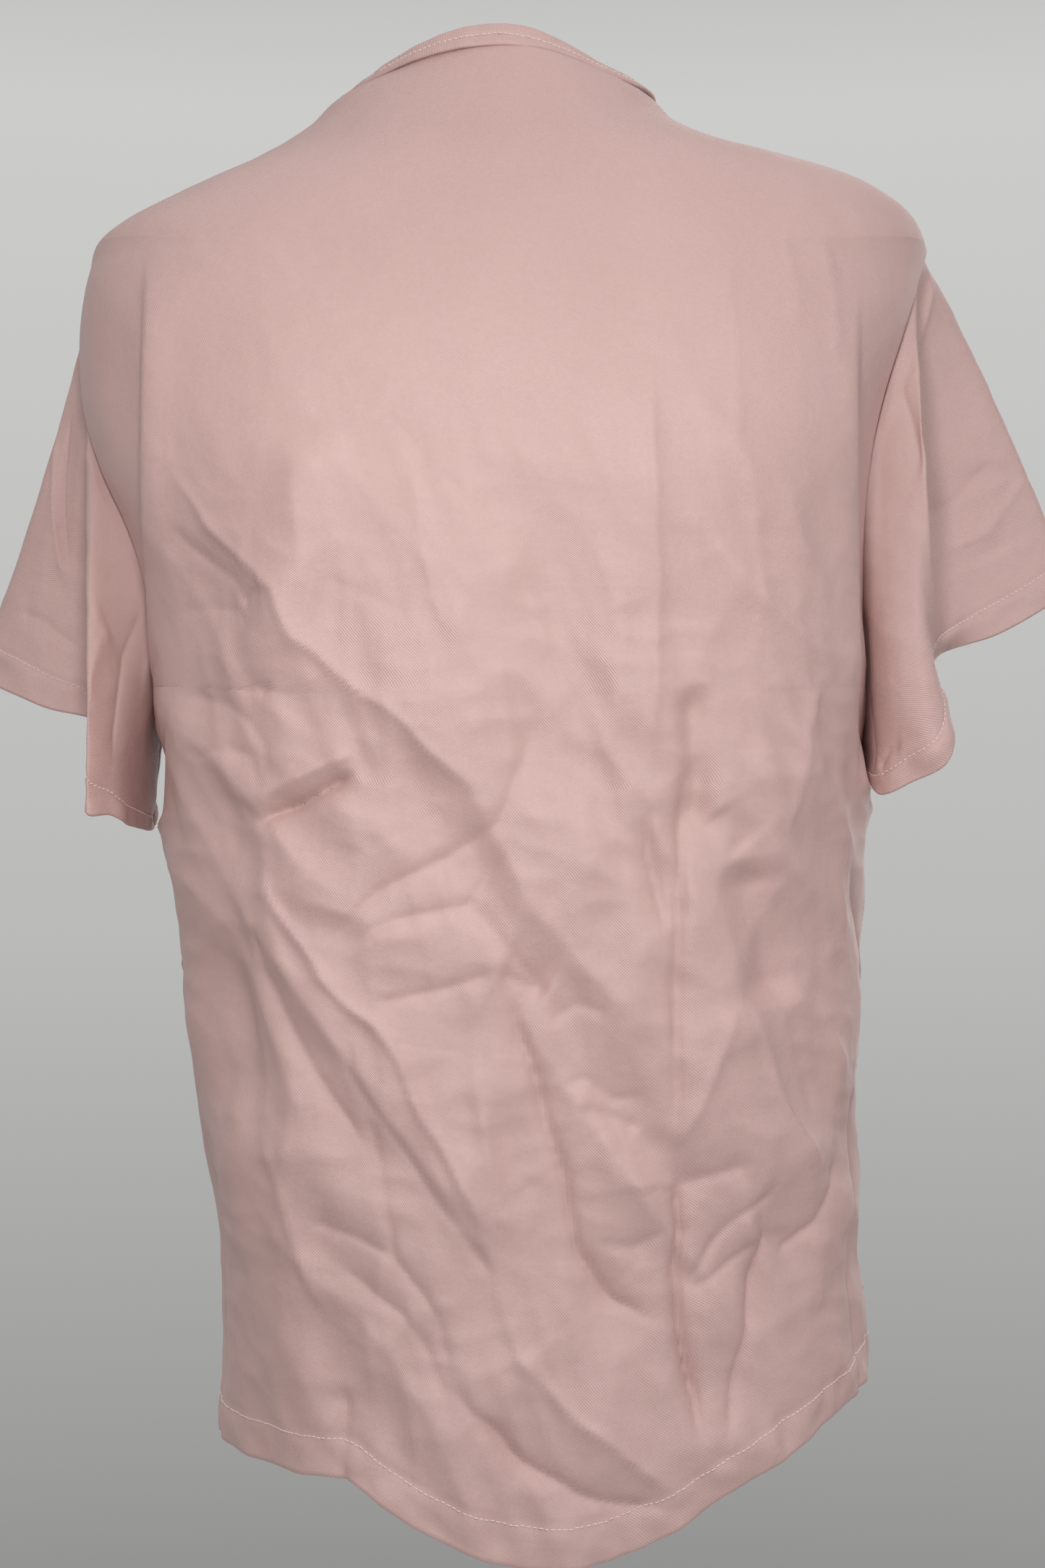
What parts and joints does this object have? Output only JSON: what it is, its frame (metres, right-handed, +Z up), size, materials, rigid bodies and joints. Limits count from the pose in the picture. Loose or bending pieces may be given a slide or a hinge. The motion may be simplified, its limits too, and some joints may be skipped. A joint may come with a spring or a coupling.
{
  "type": "patient gown",
  "caption": "Pull-on V-neck patient top with short set-in sleeves, a stitched neckband, lower patch pockets and side vents at the hem.",
  "frame": {"origin": "middle of the shoulder line, level with the points where the shoulder seams meet the neckband", "axes": "+Z up towards the neck, +Y towards the wearer's back, +X towards the wearer's left"},
  "size_m": [0.5896, 0.3258, 0.7569],
  "materials": {
    "twill": "matt dusty-pink twill",
    "pale_thread": "pale pink sewing thread",
    "inside_thread": "pink overlock thread",
    "label_white": "off-white woven ribbon"
  },
  "bodies": {
    "torso": {"back_panel": "twill", "front_panel": "twill", "neckband": "twill", "neckband_topstitch": "pale_thread", "back_hem_stitch": "pale_thread", "front_hem_stitch": "pale_thread", "neck_label": "label_white", "care_label": "label_white", "left_pocket": "twill", "left_pocket_stitch": "pale_thread", "left_pocket_mouth_stitch": "pale_thread", "left_pocket_outer_bar_tack": "pale_thread", "left_pocket_inner_bar_tack": "pale_thread", "left_shoulder_overlock": "inside_thread", "left_armhole_overlock": "inside_thread", "left_side_seam_overlock": "inside_thread", "left_vent_stitch": "pale_thread", "left_vent_bar_tack": "pale_thread", "right_pocket": "twill", "right_pocket_stitch": "pale_thread", "right_pocket_mouth_stitch": "pale_thread", "right_pocket_outer_bar_tack": "pale_thread", "right_pocket_inner_bar_tack": "pale_thread", "right_shoulder_overlock": "inside_thread", "right_armhole_overlock": "inside_thread", "right_side_seam_overlock": "inside_thread", "right_vent_stitch": "pale_thread", "right_vent_bar_tack": "pale_thread"},
    "left_sleeve_body": {"left_sleeve": "twill", "left_sleeve_hem_stitch": "pale_thread", "left_sleeve_underarm_overlock": "inside_thread"},
    "right_sleeve_body": {"right_sleeve": "twill", "right_sleeve_hem_stitch": "pale_thread", "right_sleeve_underarm_overlock": "inside_thread"}
  },
  "joints": [
    {"name": "left_sleeve_raise", "type": "hinge", "parent": "torso", "child": "left_sleeve_body", "pos_m": [0.221, 0, -0.072], "axis": [0, -1, 0], "range_deg": [0, 60]},
    {"name": "right_sleeve_raise", "type": "hinge", "parent": "torso", "child": "right_sleeve_body", "pos_m": [-0.221, 0, -0.072], "axis": [0, 1, 0], "range_deg": [0, 60]}
  ]
}
